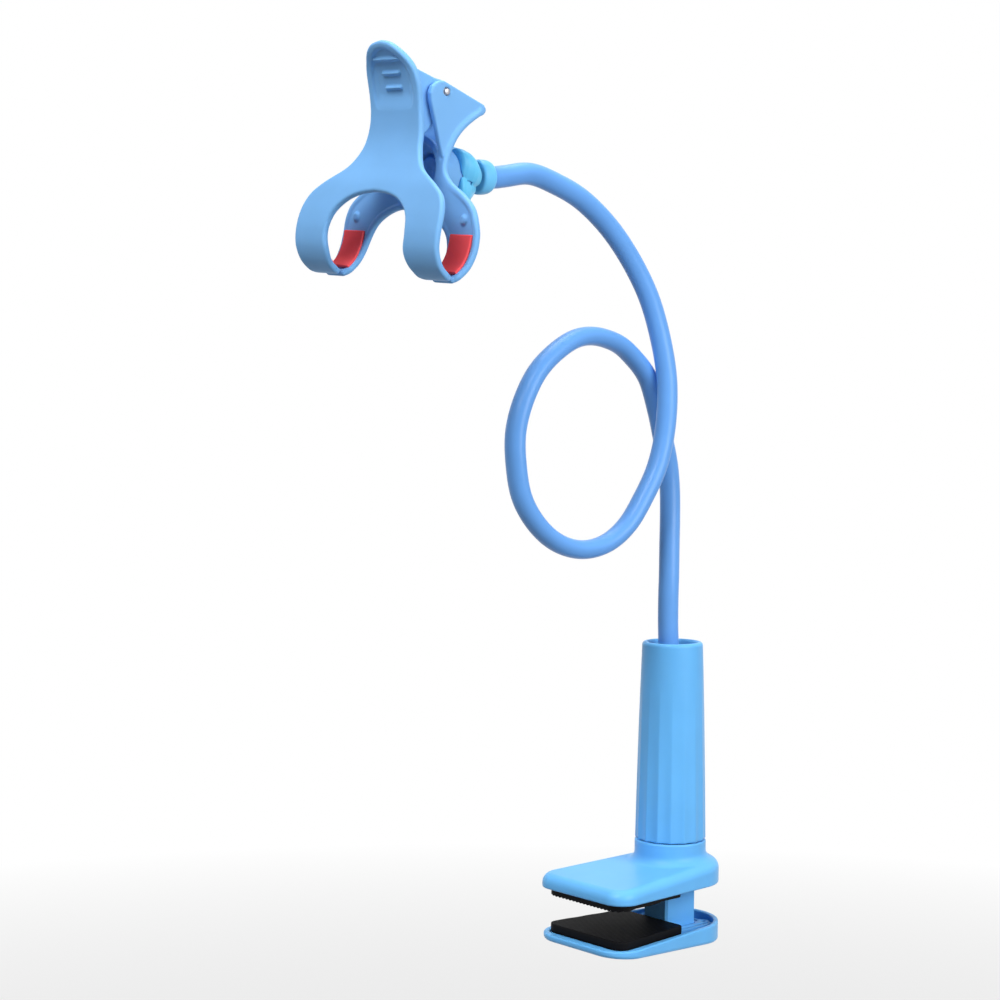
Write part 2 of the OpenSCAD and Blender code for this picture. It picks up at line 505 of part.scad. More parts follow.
// Pads on the fingers
module finger_pad(s, c, a, b, z0, z1) color(red) in_clip() intersection() {
    profile_y(band(c, a, b), 60);
    translate([-90, s > 0 ? fw - 19.5 : 5.5 - fw, z0]) cube([90, 14, z1 - z0]);
}
module rear_pad_left() finger_pad(1, rear_curve, -arm_t - grip_pad_t, -arm_t - 0.03, -42, -26);
module rear_pad_right() finger_pad(-1, rear_curve, -arm_t - grip_pad_t, -arm_t - 0.03, -42, -26);
module front_pad_left() finger_pad(1, front_curve, arm_t + 0.03, arm_t + grip_pad_t, -41, -26);
module front_pad_right() finger_pad(-1, front_curve, arm_t + 0.03, arm_t + grip_pad_t, -41, -26);

// Hinge pin with its two push-on washers, and the torsion spring round it
module at_pin() in_clip() translate([pin_x, 0, pin_z]) children();
module hinge_pin() color(steel) at_pin() bar_y(pin_d / 2, -cheek_out - 0.6, cheek_out + 0.6);
module pin_washer(y0) color(steel) at_pin() difference() {
    bar_y(pin_d / 2 + 1.2, y0, y0 + 0.4);
    bar_y(pin_d / 2 + 0.02, y0 - 1, y0 + 2);
}
module pin_washer_left() pin_washer(cheek_in - 3 - 0.6);
module pin_washer_right() pin_washer(-cheek_in + 3 + 0.2);
coil_r = pin_d / 2 + 0.35 + wire_d;
coil_n = 5;
coil_w = (wire_d + 0.3) * coil_n / 2;
leg_a = [-40.4 - pin_x, 41.6 - pin_z];
leg_b = [-13.6 - pin_x, 26.4 - pin_z];
a_start = atan2(leg_a.y, leg_a.x) + acos(coil_r / norm(leg_a));
a_end = atan2(leg_b.y, leg_b.x) - acos(coil_r / norm(leg_b)) + 360 * (coil_n + 1);
wire = concat([[leg_a.x, -coil_w, leg_a.y]],
    [for (i = [0:12 * coil_n]) let (t = i / (12 * coil_n), a = lerp(a_start, a_end, t))
        [coil_r * cos(a), lerp(-coil_w, coil_w, t), coil_r * sin(a)]],
    [[leg_b.x, coil_w, leg_b.y]]);
module torsion_spring() color(steel) at_pin() rings([for (i = [0:len(wire) - 1]) let (
    t = unit(wire[min(i + 1, len(wire) - 1)] - wire[max(i - 1, 0)]), b = unit([0, 1, 0] - t.y * t),
    m = cross(b, t)) [for (k = [0:5]) wire[i] + wire_d / 2 * (cos(60 * k) * m + sin(60 * k) * b)]]);

lower_jaw();
lower_pad();
post();
post_screw_front();
post_screw_rear();
grub_screw();
neck_plug();
neck_sheath();
neck_core();
end_ferrule();
ball_stud();
upper_jaw();
upper_pad();
grip_sleeve();
grip_nut();
ball_seat();
friction_ring();
rear_arm();
socket_cap();
rear_pad_left();
rear_pad_right();
hinge_pin();
pin_washer_left();
pin_washer_right();
torsion_spring();
lock_nut();
front_arm();
front_pad_left();
front_pad_right();
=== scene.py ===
# Phone holder on a looped gooseneck: visual pieces, materials, light and camera.
# Lengths are in millimetres until a mesh is made, in the CAD's own frame.
import json
import math

import bpy
import numpy as np
from mathutils import Matrix, Vector


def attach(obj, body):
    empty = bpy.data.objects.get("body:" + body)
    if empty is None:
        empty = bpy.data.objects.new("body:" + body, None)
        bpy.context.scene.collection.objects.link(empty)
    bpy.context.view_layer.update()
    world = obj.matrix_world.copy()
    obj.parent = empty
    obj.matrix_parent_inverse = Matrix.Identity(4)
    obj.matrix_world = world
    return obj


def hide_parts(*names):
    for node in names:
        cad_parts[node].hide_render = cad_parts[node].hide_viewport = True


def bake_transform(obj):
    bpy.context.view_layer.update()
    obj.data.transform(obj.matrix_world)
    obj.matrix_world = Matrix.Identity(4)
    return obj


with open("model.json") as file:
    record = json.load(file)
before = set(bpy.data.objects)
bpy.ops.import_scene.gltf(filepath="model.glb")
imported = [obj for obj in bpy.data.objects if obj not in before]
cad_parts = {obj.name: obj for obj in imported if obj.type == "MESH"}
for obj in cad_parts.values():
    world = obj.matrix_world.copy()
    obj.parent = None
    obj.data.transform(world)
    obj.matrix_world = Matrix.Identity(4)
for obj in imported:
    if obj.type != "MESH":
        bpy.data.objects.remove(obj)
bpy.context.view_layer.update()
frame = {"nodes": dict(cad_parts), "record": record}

MM = 0.001

# Sizes repeated from the part's source
POST_X = 35.0
GAP = 13.8
JZ = GAP - 1.4
LOW_TIP = POST_X - 64.5
UP_TIP = LOW_TIP + 1
HALF_W = 29.8
REAR_R = 24.0
REAR_X = POST_X + REAR_R
PAD_TIP = LOW_TIP + 5.5
PAD_REAR = POST_X - 11.6
RIM_TIP, RIM_REAR = -4.0, -2.2
FLOOR_TIP, FLOOR_REAR = -7.2, -12.8
LOW_PAD, UP_PAD = 4.3, 4.4
DECK = GAP + UP_PAD
SKIRT = JZ + 5.2
TOP_TIP, TOP_REAR = JZ + 11.9, JZ + 16.4
COLLAR_R = 17.5
COLLAR_Z = JZ + 25.1
GRIP_Z = COLLAR_Z + 0.4
GRIP_LEN = 97.0
GRIP_TOP = GRIP_Z + GRIP_LEN
BORE_R = math.hypot(20.5, 16) / 2 - 0.1 + 0.3
CLIP_X, CLIP_Z, ROLL = -102.0, 350.0, math.radians(5)
BALL_DX = -4.0
TILT = math.radians(4)
PIN = (-25.7, 34.1)
FW = 50.0
SY = 6.0


def lerp(a, b, t):
    return a + (b - a) * t


def cubic(a, b, c, d, t):
    return 0.5 * (2 * b + (c - a) * t + (2 * a - 5 * b + 4 * c - d) * t * t
                  + (3 * b - a - 3 * c + d) * t ** 3)


def curve(pts, n):
    """Smooth curve through given points."""
    p = np.asarray(pts, float)
    out = []
    for i in range(len(p) - 1):
        q = [p[max(i - 1, 0)], p[i], p[i + 1], p[min(i + 2, len(p) - 1)]]
        out += [cubic(*q, k / n) for k in range(n)]
    out.append(p[-1])
    return np.array(out)


def arc(cx, cy, r, a0, a1, n):
    a = np.radians(np.linspace(a0, a1, n + 1))
    return np.stack([cx + r * np.cos(a), cy + r * np.sin(a)], 1)


def smooth(e0, e1, x):
    t = np.clip((x - e0) / (e1 - e0), 0, 1)
    return t * t * (3 - 2 * t)


# Distance fields: a form is a function that is negative inside it
def join(a, b, r=0.0):
    """Union with a fillet of radius r."""
    if r <= 0:
        return np.minimum(a, b)
    u, v = np.maximum(r - a, 0), np.maximum(r - b, 0)
    return np.maximum(r, np.minimum(a, b)) - np.sqrt(u * u + v * v)


def both(a, b, r=0.0):
    """Intersection with its edge rounded to radius r."""
    if r <= 0:
        return np.maximum(a, b)
    u, v = np.maximum(r + a, 0), np.maximum(r + b, 0)
    return np.minimum(-r, np.maximum(a, b)) + np.sqrt(u * u + v * v)


def cut(a, b, r=0.0):
    return both(a, -b, r)


def to_lines(pts, u, v, closed):
    """Distance to a line of points, with the running length and side of the nearest place."""
    p = np.asarray(pts, float)
    q = np.roll(p, -1, 0) if closed else p[1:]
    p = p if closed else p[:-1]
    best = np.full(u.shape, 1e9)
    run = np.zeros(u.shape)
    side = np.ones(u.shape)
    length = 0.0
    for a, b in zip(p, q):
        d = b - a
        n = math.hypot(*d)
        if n < 1e-9:
            continue
        t = np.clip(((u - a[0]) * d[0] + (v - a[1]) * d[1]) / (n * n), 0, 1)
        dist = np.hypot(u - a[0] - t * d[0], v - a[1] - t * d[1])
        near = dist < best
        best = np.where(near, dist, best)
        run = np.where(near, length + t * n, run)
        side = np.where(near, np.sign(d[0] * (v - a[1]) - d[1] * (u - a[0])), side)
        length += n
    return best, run, side


def shape(pts, u, v):
    """Signed distance to a closed outline."""
    d, _, _ = to_lines(pts, u, v, True)
    p = np.asarray(pts, float)
    inside = np.zeros(u.shape, bool)
    for (x1, y1), (x2, y2) in zip(p, np.roll(p, -1, 0)):
        if y1 == y2:
            continue
        hit = ((y1 > v) != (y2 > v)) & (u < (x2 - x1) * (v - y1) / (y2 - y1) + x1)
        inside ^= hit
    return np.where(inside, -d, d)


class Grid:
    """Axes of a block of points; flat forms are worked out once and spread over the third axis."""

    def __init__(self, lo, hi, step):
        self.lo = np.array([a - 2 * step for a in lo])
        self.step = step
        self.n = [int(math.ceil((b - a) / step)) + 5 for a, b in zip(lo, hi)]
        ax = [self.lo[i] + step * np.arange(self.n[i]) for i in range(3)]
        self.x = ax[0][:, None, None]
        self.y = ax[1][None, :, None]
        self.z = ax[2][None, None, :]
        self.ax = ax

    def flat(self, pts, plane):
        if plane == "xz":
            u, v = np.meshgrid(self.ax[0], self.ax[2], indexing="ij")
            return shape(pts, u, v)[:, None, :]
        if plane == "yz":
            u, v = np.meshgrid(self.ax[1], self.ax[2], indexing="ij")
            return shape(pts, u, v)[None, :, :]
        u, v = np.meshgrid(self.ax[0], self.ax[1], indexing="ij")
        return shape(pts, u, v)[:, :, None]

    def rod_x(self, r, x0, x1, y=0.0, z=0.0, edge=0.0):
        return both(np.hypot(self.y - y, self.z - z) - r, np.maximum(x0 - self.x, self.x - x1), edge)

    def rod_y(self, r, y0, y1, x=0.0, z=0.0, edge=0.0):
        return both(np.hypot(self.x - x, self.z - z) - r, np.maximum(y0 - self.y, self.y - y1), edge)

    def rod_z(self, r, z0, z1, x=0.0, y=0.0, edge=0.0):
        return both(np.hypot(self.x - x, self.y - y) - r, np.maximum(z0 - self.z, self.z - z1), edge)

    def block(self, lo, hi, edge=0.0):
        d = np.maximum(lo[0] - self.x, self.x - hi[0])
        d = both(d, np.maximum(lo[1] - self.y, self.y - hi[1]), edge)
        return both(d, np.maximum(lo[2] - self.z, self.z - hi[2]), edge)


def skin(grid, f):
    """Quads, points and outward directions of the surface where the field f is zero."""
    f = np.broadcast_to(f, grid.n).astype(np.float32)
    neg = f < 0
    count = np.zeros([n - 1 for n in grid.n], np.int8)
    sl = (slice(0, -1), slice(1, None))
    for a in (0, 1):
        for b in (0, 1):
            for c in (0, 1):
                count += neg[sl[a], sl[b], sl[c]]
    cells = np.argwhere((count > 0) & (count < 8))
    number = np.full(count.shape, -1, np.int64)
    number[tuple(cells.T)] = np.arange(len(cells))
    total = np.zeros((len(cells), 3))
    hits = np.zeros(len(cells))
    for axis in range(3):
        o1, o2 = [k for k in range(3) if k != axis]
        for a in (0, 1):
            for b in (0, 1):
                c0 = cells.copy()
                c0[:, o1] += a
                c0[:, o2] += b
                c1 = c0.copy()
                c1[:, axis] += 1
                f0, f1 = f[tuple(c0.T)], f[tuple(c1.T)]
                cross = (f0 < 0) != (f1 < 0)
                t = np.where(cross, f0 / np.where(cross, f0 - f1, 1), 0)
                total[:, axis] += t
                total[:, o1] += a * cross
                total[:, o2] += b * cross
                hits += cross
    p = cells + total / hits[:, None]

    def sample(q):
        i = np.clip(np.floor(q).astype(int), 0, np.array(grid.n) - 2)
        w = q - i
        v = np.zeros(len(q))
        g = np.zeros((len(q), 3))
        for a in (0, 1):
            wa, sa = (w[:, 0], 1) if a else (1 - w[:, 0], -1)
            for b in (0, 1):
                wb, sb = (w[:, 1], 1) if b else (1 - w[:, 1], -1)
                for c in (0, 1):
                    wc, sc = (w[:, 2], 1) if c else (1 - w[:, 2], -1)
                    s = f[i[:, 0] + a, i[:, 1] + b, i[:, 2] + c]
                    v += s * wa * wb * wc
                    g += s[:, None] * np.stack([sa * wb * wc, wa * sb * wc, wa * wb * sc], 1)
        return v, g / grid.step

    for _ in range(3):
        v, g = sample(p)
        g2 = np.maximum((g * g).sum(1), 0.05)
        move = np.clip((v / g2)[:, None] * g / grid.step, -0.3, 0.3)
        p = p - 0.7 * move
    _, g = sample(p)
    for d in np.eye(3):
        g += sample(p + 0.6 * d)[1] + sample(p - 0.6 * d)[1]
    g /= np.maximum(np.linalg.norm(g, axis=1), 1e-6)[:, None]

    faces = []
    for axis in range(3):
        o1, o2 = (axis + 1) % 3, (axis + 2) % 3
        lo = [slice(None)] * 3
        hi = [slice(None)] * 3
        lo[axis], hi[axis] = slice(0, -1), slice(1, None)
        change = neg[tuple(lo)] != neg[tuple(hi)]
        e = np.argwhere(change)
        e = e[(e[:, o1] > 0) & (e[:, o2] > 0) & (e[:, o1] < grid.n[o1] - 1) & (e[:, o2] < grid.n[o2] - 1)]
        quad = []
        for a, b in ((-1, -1), (0, -1), (0, 0), (-1, 0)):
            c = e.copy()
            c[:, o1] += a
            c[:, o2] += b
            quad.append(number[tuple(c.T)])
        quad = np.stack(quad, 1)
        back = ~neg[tuple(e.T)]
        quad[back] = quad[back][:, ::-1]
        faces.append(quad)
    return grid.lo + p * grid.step, np.concatenate(faces), g


# Object making
def to_world(p, clip):
    p = np.asarray(p, float)
    if clip:
        c, s = math.cos(ROLL), math.sin(ROLL)
        x, y, z = p[:, 0], p[:, 1], p[:, 2]
        p = np.stack([x + CLIP_X, y * c - z * s, y * s + z * c + CLIP_Z], 1)
    return p


def turn(n, clip):
    if not clip:
        return n
    c, s = math.cos(ROLL), math.sin(ROLL)
    return np.stack([n[:, 0], n[:, 1] * c - n[:, 2] * s, n[:, 1] * s + n[:, 2] * c], 1)


def add(name, verts, faces, body, mat, nodes=(), clip=False, normals=None):
    verts = to_world(verts, clip) * MM
    me = bpy.data.meshes.new(name)
    me.from_pydata([tuple(v) for v in verts.tolist()], [], [tuple(f) for f in faces])
    me.polygons.foreach_set("use_smooth", [True] * len(me.polygons))
    me.update()
    if normals is not None:
        me.normals_split_custom_set_from_vertices([tuple(n) for n in turn(normals, clip).tolist()])
    ob = bpy.data.objects.new(name, me)
    bpy.context.scene.collection.objects.link(ob)
    me.materials.append(mat)
    if body:  # a piece given no body has no parent
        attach(ob, body)
    if nodes:
        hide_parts(*nodes)
    return ob


def moulded(name, grid, field, body, mat, nodes=(), clip=False):
    p, q, n = skin(grid, field)
    return add(name, p, q.tolist(), body, mat, nodes, clip, n)


def loft(rings, loop=False):
    """Faces through rings of equal count; the ends are closed with a fan unless the rings loop."""
    m, n = len(rings), len(rings[0])
    verts = [tuple(p) for r in rings for p in r]
    faces = []
    for j in range(m if loop else m - 1):
        a, b = j * n, ((j + 1) % m) * n
        for i in range(n):
            k = (i + 1) % n
            faces.append((a + i, a + k, b + k, b + i))
    if not loop:
        faces.append(tuple(reversed(range(n))))
        faces.append(tuple(range((m - 1) * n, m * n)))
    return verts, faces


def auto_edges(ob, degrees=35):
    """Sharp shading where faces meet at more than the angle."""
    me = ob.data
    me.set_sharp_from_angle(angle=math.radians(degrees))


def lathe(name, prof, body, mat, nodes=(), axis="z", at=(0, 0, 0), seg=64, tilt=0.0,
          clip=False, loop=False):
    """Turned piece: the profile holds (radius, height) from one end to the other."""
    rings = []
    for r, h in prof:
        ring = []
        for i in range(seg):
            a = 2 * math.pi * i / seg
            p = Vector((r * math.cos(a), r * math.sin(a), h))
            if axis == "x":
                p = Vector((p.z, p.x, p.y))
            elif axis == "y":
                p = Vector((p.y, p.z, p.x))
            if tilt:
                p = Matrix.Rotation(-tilt, 3, "Y") @ p
            ring.append(tuple(p + Vector(at)))
        rings.append(ring)
    verts, faces = loft(rings, loop)
    ob = add(name, verts, faces, body, mat, nodes, clip)
    auto_edges(ob)
    return ob


# Materials
def lin(c):
    return tuple(((v + 0.055) / 1.055) ** 2.4 if v > 0.04045 else v / 12.92 for v in c) + (1.0,)


def material(name, rgb, rough=0.4, vary=0.04, grain=900.0, bump=0.06, big=35.0, metal=0.0, coat=0.0,
             sheen=0.0, sss=0.0, stretch=(1, 1, 1), spec=0.5, wear=0.0):
    """Surface with soft colour drift, uneven gloss and a fine moulded or brushed grain."""
    m = bpy.data.materials.new(name)
    m.use_nodes = True
    nt = m.node_tree
    bs = nt.nodes["Principled BSDF"]
    bs.inputs["Metallic"].default_value = metal
    bs.inputs["Specular IOR Level"].default_value = spec
    bs.inputs["Coat Weight"].default_value = coat
    bs.inputs["Coat Roughness"].default_value = 0.12
    bs.inputs["Sheen Weight"].default_value = sheen
    if sss:
        bs.inputs["Subsurface Weight"].default_value = sss
        bs.inputs["Subsurface Scale"].default_value = 0.002
        bs.inputs["Subsurface Radius"].default_value = (0.3, 0.7, 1.0)
    co = nt.nodes.new("ShaderNodeTexCoord")
    mp = nt.nodes.new("ShaderNodeMapping")
    mp.inputs["Scale"].default_value = stretch
    nt.links.new(co.outputs["Object"], mp.inputs["Vector"])

    def noise(scale, detail, rough_=0.5):
        n = nt.nodes.new("ShaderNodeTexNoise")
        n.inputs["Scale"].default_value = scale
        n.inputs["Detail"].default_value = detail
        n.inputs["Roughness"].default_value = rough_
        nt.links.new(mp.outputs["Vector"], n.inputs["Vector"])
        return n.outputs["Fac"]

    ramp = nt.nodes.new("ShaderNodeValToRGB")
    base = lin(rgb)
    ramp.color_ramp.elements[0].position = 0.3
    ramp.color_ramp.elements[1].position = 0.7
    ramp.color_ramp.elements[0].color = tuple(max(v * (1 - vary), 0) for v in base[:3]) + (1,)
    ramp.color_ramp.elements[1].color = tuple(min(v * (1 + vary), 1) for v in base[:3]) + (1,)
    nt.links.new(noise(big, 3), ramp.inputs["Fac"])
    colour = ramp.outputs["Color"]
    if wear:
        geo = nt.nodes.new("ShaderNodeNewGeometry")
        edge = nt.nodes.new("ShaderNodeValToRGB")
        edge.color_ramp.elements[0].position = 0.53
        edge.color_ramp.elements[1].position = 0.6
        nt.links.new(geo.outputs["Pointiness"], edge.inputs["Fac"])
        mul = nt.nodes.new("ShaderNodeMath")
        mul.operation = "MULTIPLY"
        nt.links.new(edge.outputs["Color"], mul.inputs[0])
        mul.inputs[1].default_value = wear
        mix = nt.nodes.new("ShaderNodeMix")
        mix.data_type = "RGBA"
        mix.inputs["B"].default_value = tuple(min(1, v * 1.25 + 0.06) for v in base[:3]) + (1,)
        nt.links.new(mul.outputs[0], mix.inputs["Factor"])
        nt.links.new(colour, mix.inputs["A"])
        colour = mix.outputs["Result"]
    nt.links.new(colour, bs.inputs["Base Color"])
    rr = nt.nodes.new("ShaderNodeMapRange")
    rr.inputs["To Min"].default_value = max(rough - 0.05, 0.03)
    rr.inputs["To Max"].default_value = rough + 0.05
    nt.links.new(noise(big * 4, 4, 0.6), rr.inputs["Value"])
    nt.links.new(rr.outputs["Result"], bs.inputs["Roughness"])
    bp = nt.nodes.new("ShaderNodeBump")
    bp.inputs["Strength"].default_value = bump
    bp.inputs["Distance"].default_value = 0.0003
    nt.links.new(noise(grain, 2), bp.inputs["Height"])
    nt.links.new(bp.outputs["Normal"], bs.inputs["Normal"])
    return m


BLUE = material("jaw_blue", (0.41, 0.72, 0.96), rough=0.35, bump=0.05, sss=0.06, spec=0.2)
CLIP = material("clip_blue", (0.48, 0.71, 0.93), rough=0.45, bump=0.07, sss=0.04, spec=0.12)
NECK = material("neck_blue", (0.40, 0.64, 0.92), rough=0.32, bump=0.0, grain=500, spec=0.25)
NUT = material("nut_blue", (0.43, 0.81, 1.0), rough=0.32, bump=0.03, sss=0.04, spec=0.2)
FERR = material("ferrule_blue", (0.45, 0.79, 1.0), rough=0.32, bump=0.02, spec=0.2)
PAD = material("black_rubber", (0.04, 0.04, 0.05), rough=0.6, vary=0.2, bump=0.2, grain=1400, spec=0.08)
DARK = material("black_plastic", (0.05, 0.05, 0.055), rough=0.45, vary=0.1, bump=0.1, spec=0.1)
RED = material("red_rubber", (1.0, 0.36, 0.38), rough=0.6, vary=0.03, bump=0.2, grain=1600, spec=0.1)
STEEL = material("steel", (0.62, 0.62, 0.64), rough=0.42, metal=1.0, bump=0.05, stretch=(1, 1, 8))
CHROME = material("chrome", (0.85, 0.86, 0.88), rough=0.1, metal=1.0, bump=0.01)
ALU = material("aluminium", (0.80, 0.81, 0.82), rough=0.32, metal=1.0, bump=0.05, stretch=(1, 1, 6))
CORE = material("core_wire", (0.70, 0.70, 0.72), rough=0.35, metal=1.0, bump=0.06)

by_slot = {"blue": BLUE, "clip_blue": CLIP, "neck_blue": NECK, "nut_blue": NUT, "black_rubber": PAD,
           "black_plastic": DARK, "red_rubber": RED, "steel": STEEL, "aluminium": ALU, "core": CORE,
           "chrome": CHROME}
for row in frame["record"]["subparts"]:
    node = frame["nodes"][row["node"]]
    mat = by_slot[row["material_slot"]]
    for s in node.material_slots:
        s.material = mat
    if not node.material_slots:
        node.data.materials.append(mat)


# Gooseneck
TIP = np.array([math.cos(TILT), 0, math.sin(TILT)])
BALL = np.array([CLIP_X + BALL_DX, 0, CLIP_Z])


def on_stud(s):
    return BALL + s * TIP


L = POST_X
route = [(L, 0, 73.5, 0), (L, 0, 86, 0), (L, 0, 100, 0), (L - 1.6, 0, 120, 0), (L - 3.2, 0, 140, 0),
         (L - 3.4, 0, 156, 0), (L - 2.6, 0.5, 168, 0), (L - 0.8, 2.2, 182, 0), (L + 1.4, 4.2, 196, 0),
         (L + 2.4, SY - 0.5, 209, 0), (L + 1.4, SY, 221, 0.1), (L - 2.2, SY, 234, 0.3),
         (L - 7.4, SY - 0.5, 249, 0.6), (L - 15, SY - 1.4, 264, 0.9), (L - 27, 4, 274.5, 1),
         (L - 39, 3, 280.4, 1), (L - 55.5, 2, 282.8, 1), (L - 71, 1, 279.3, 1), (L - 88, 0.5, 268, 1),
         (L - 98.5, 0, 254, 1), (L - 104, 0, 238, 1), (L - 104, -0.5, 222, 1), (L - 100.5, -1, 207, 1),
         (L - 91.5, -1.8, 194.5, 1), (L - 79, -2.4, 186, 1), (L - 64, -3, 182.6, 1), (L - 49, -3.6, 185.3, 1),
         (L - 36.5, -4.4, 193.6, 1), (L - 27, 0.6 - SY, 206.3, 0.8), (L - 19, -SY, 220, 0.6),
         (L - 14, -SY, 235, 0.4), (L - 12, -SY, 252, 0.2), (L - 12.2, 1 - SY, 268, 0.1),
         (L - 15.6, -3, 287, 0), (L - 22, -1.6, 304, 0), (L - 33, -0.4, 320.5, 0), (L - 47, 0, 334.5, 0),
         (L - 64, 0, 345.6, 0), (L - 81, 0, 351.8, 0), (L - 97, 0, 355, 0),
         (*(on_stud(29) + [0, 0, 0.6]), 0), (*on_stud(23), 0), (*on_stud(16.2), 0)]


def tube(path, radius, seg):
    """Tube along a path whose fourth number squashes the section in the bends."""
    rings = []
    m = len(path)
    for i in range(m):
        t = path[min(i + 1, m - 1)][:3] - path[max(i - 1, 0)][:3]
        t = t / np.linalg.norm(t)
        b = np.array([0, 1.0, 0]) - t[1] * t
        b = b / np.linalg.norm(b)
        k = np.cross(b, t)
        o = path[i][3]
        a = 2 * np.pi * np.arange(seg) / seg
        ring = (path[i][:3] + radius * ((1 - 0.11 * o) * np.cos(a)[:, None] * k
                                        + (1 + 0.07 * o) * np.sin(a)[:, None] * b))
        rings.append([tuple(v) for v in ring])
    return rings


neck_path = curve(route, 8)
v, f = loft(tube(neck_path, 5.0, 40))
add("neck_tube", v, f, "base", NECK, ("neck_sheath",))

# End ferrule: rounded collar that grips the neck's end
prof = [(2.6, 11.2), (6.0, 11.2), (6.9, 11.35), (7.45, 11.8), (7.7, 12.5), (7.8, 13.4), (7.8, 14.8),
        (7.7, 16.2), (7.5, 17.3), (7.1, 18.2), (6.5, 18.9), (5.9, 19.4), (5.4, 19.7), (5.05, 19.8),
        (5.05, 16.6), (2.6, 16.6)]
lathe("ferrule", prof, "base", FERR, ("end_ferrule",), axis="x", at=tuple(BALL), tilt=TILT,
      loop=True)

# Clip arms
front_path = [(-51.8, 55), (-50.9, 53), (-48.9, 48.8), (-45, 43), (-42.2, 36), (-40.6, 29), (-39.8, 22),
              (-39.9, 15), (-41.4, 8), (-44.1, 1), (-47.3, -6), (-49.6, -13), (-51.7, -20), (-53.1, -27),
              (-53, -34), (-50.2, -40.6), (-45.4, -44.9), (-41.2, -46.2)]
rear_path = [(-2.6, 28.2), (-5.6, 26.2), (-10.4, 23.1), (-15.1, 19.1), (-18.4, 15.1), (-20.6, 11), (-22.6, 6),
             (-24.2, 0.5), (-25.3, -6), (-26, -14), (-26.3, -21), (-26.3, -27), (-27.5, -34), (-30.5, -40.4),
             (-34.8, -44.9), (-38.3, -47.3)]
thumb_line = curve([(0, 50.8), (4.5, 50), (8.4, 47.4), (11.4, 43.6), (13.2, 38), (13.4, 30), (11.8, 26),
                    (7, 24.8), (0, 24.6)], 6)
front_outer = curve([(0, 53.4), (6, 52.4), (10.5, 49.8), (14, 46.2), (16.4, 42), (17.3, 36), (17.2, 28),
                     (17.3, 22), (18.3, 15), (20.2, 8), (26, 0.5), (FW - 12, -6), (FW - 4.5, -11),
                     (FW - 0.8, -17.5), (FW, -26), (FW - 0.6, -38), (FW - 1.4, -44)], 6)
front_inner = curve([(29.4, -44), (27.5, -36), (28, -27), (25.6, -19.5), (19, -14), (10, -11), (0, -10)], 6)
rear_outer = np.concatenate([[(0, 36), (15, 36)], curve([(16.4, 29.4), (17.9, 28), (18.5, 25.5), (18.5, 20),
                            (18.5, 14), (18.7, 7), (20.4, 0.5), (26.5, -4.6), (FW - 15, -9),
                            (FW - 7.6, -14.6),
                            (FW - 4, -22), (FW - 3, -31), (FW - 3.4, -40), (FW - 4.4, -45)], 6)])
rear_inner = curve([(30, -45), (29.3, -38), (28, -31), (24.6, -25), (17.7, -20), (9, -16.8), (0, -16)], 6)


def middle(path, off, trim):
    """Middle line of a sheet: the path set off to its left, shortened at both ends."""
    c = curve(path, 8)
    t = np.gradient(c, axis=0)
    t /= np.linalg.norm(t, axis=1)[:, None]
    c = c + off * np.stack([-t[:, 1], t[:, 0]], 1)
    seg = np.concatenate([[0], np.cumsum(np.linalg.norm(np.diff(c, axis=0), axis=1))])
    s = np.linspace(trim, seg[-1] - trim, len(c))
    return np.stack([np.interp(s, seg, c[:, 0]), np.interp(s, seg, c[:, 1])], 1)


def sheet_fields(grid, mid, outer, inner, tip_r):
    """Distance from the middle line, side of it, and signed distance to the outline laid out flat."""
    u, v = np.meshgrid(grid.ax[0], grid.ax[2], indexing="ij")
    dist, run, side = to_lines(mid, u, v, False)
    seg = np.concatenate([[0], np.cumsum(np.linalg.norm(np.diff(mid, axis=0), axis=1))])
    down = -mid[:, 1]

    def laid(p):
        above = np.maximum(p[:, 1] + down[0], 0)
        return np.stack([p[:, 0], np.interp(-p[:, 1], down, seg) - 1.2 * above], 1)

    o, i = laid(outer), laid(inner)
    end = seg[-1] + 1.5
    o = o[o[:, 1] < end - tip_r]
    i = i[i[:, 1] < end - tip_r]
    tip = np.concatenate([arc(o[-1][0] - tip_r, end - tip_r, tip_r, 0, 90, 8),
                          arc(i[0][0] + tip_r, end - tip_r, tip_r, 90, 180, 8)])
    half = np.concatenate([o, tip, i])
    if outer[0][0] < 0.01:
        half[0][1] = min(half[0][1], half[1][1]) - 0.0
    line = np.concatenate([half, half[::-1] * [-1, 1]])
    sa = np.arange(-4, end + 6, 0.5)
    ya = np.arange(0, 56, 0.5)
    yy, ss = np.meshgrid(ya, sa, indexing="ij")
    table = shape(line, yy, ss)
    return dist[:, None, :], run[:, None, :], side[:, None, :], Flat(table, 0, -4, 0.5), seg, down


class Flat:
    """Table of a flat form's distance, read at any place."""

    def __init__(self, table, u0, v0, step):
        self.t, self.u0, self.v0, self.step = table, u0, v0, step

    def __call__(self, u, v):
        a = np.clip((u - self.u0) / self.step, 0, self.t.shape[0] - 1.001)
        b = np.clip((v - self.v0) / self.step, 0, self.t.shape[1] - 1.001)
        i, j = a.astype(int), b.astype(int)
        a, b = a - i, b - j
        t = self.t
        return ((t[i, j] * (1 - b) + t[i, j + 1] * b) * (1 - a)
                + (t[i + 1, j] * (1 - b) + t[i + 1, j + 1] * b) * a)


